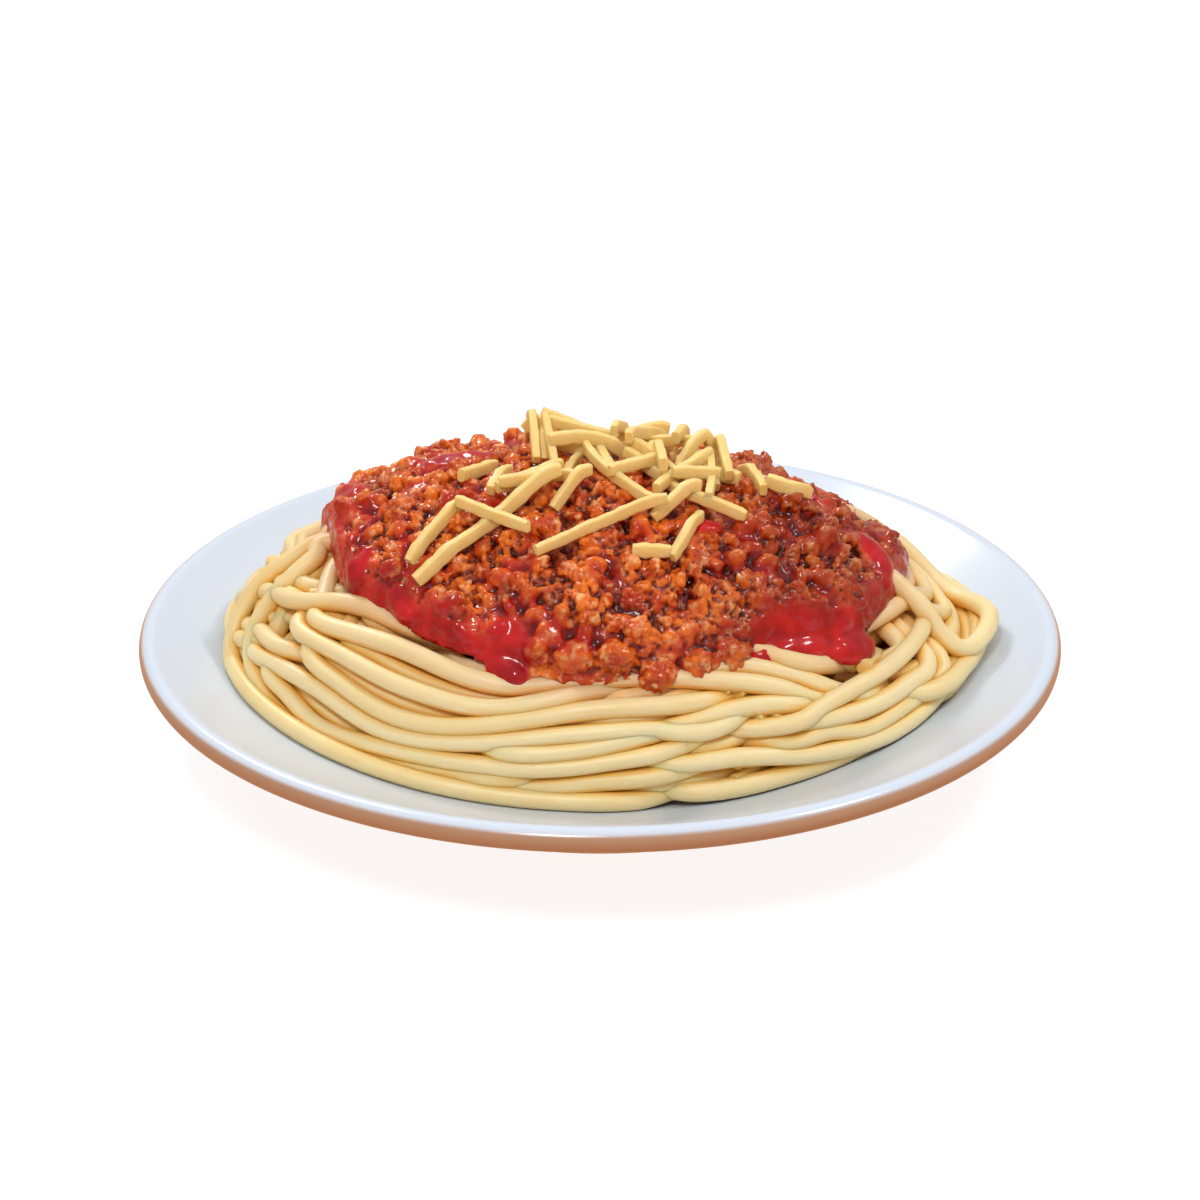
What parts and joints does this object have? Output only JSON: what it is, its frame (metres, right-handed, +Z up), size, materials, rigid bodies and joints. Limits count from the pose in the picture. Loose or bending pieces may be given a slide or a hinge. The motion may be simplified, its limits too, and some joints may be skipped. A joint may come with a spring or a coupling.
{
  "type": "spaghetti bolognese on a plate",
  "caption": "Round coupe plate with a heap of spaghetti, a mound of meat and tomato sauce on it, and grated cheese on top.",
  "frame": {"origin": "middle of the plate's foot ring, on the surface that the plate stands on", "axes": "+Z up, the front of the dish faces -Y, +X to the right seen from the front"},
  "size_m": [0.19, 0.19, 0.0714],
  "materials": {
    "porcelain": "white glazed porcelain, smooth and glossy",
    "pasta": "boiled wheat noodle, pale cream, moist satin",
    "sauce": "minced beef in tomato sauce, orange-brown lumps in glossy crimson",
    "cheese": "grated mild cheese, soft satin"
  },
  "bodies": {
    "root": {"plate": "porcelain", "spaghetti": "pasta", "meat_sauce": "sauce", "grated_cheese": "cheese", "cheese_shred_1": "cheese", "cheese_shred_2": "cheese", "cheese_shred_3": "cheese", "cheese_shred_4": "cheese", "cheese_shred_5": "cheese", "cheese_shred_6": "cheese", "cheese_shred_7": "cheese", "cheese_shred_8": "cheese", "cheese_shred_9": "cheese"}
  },
  "joints": []
}
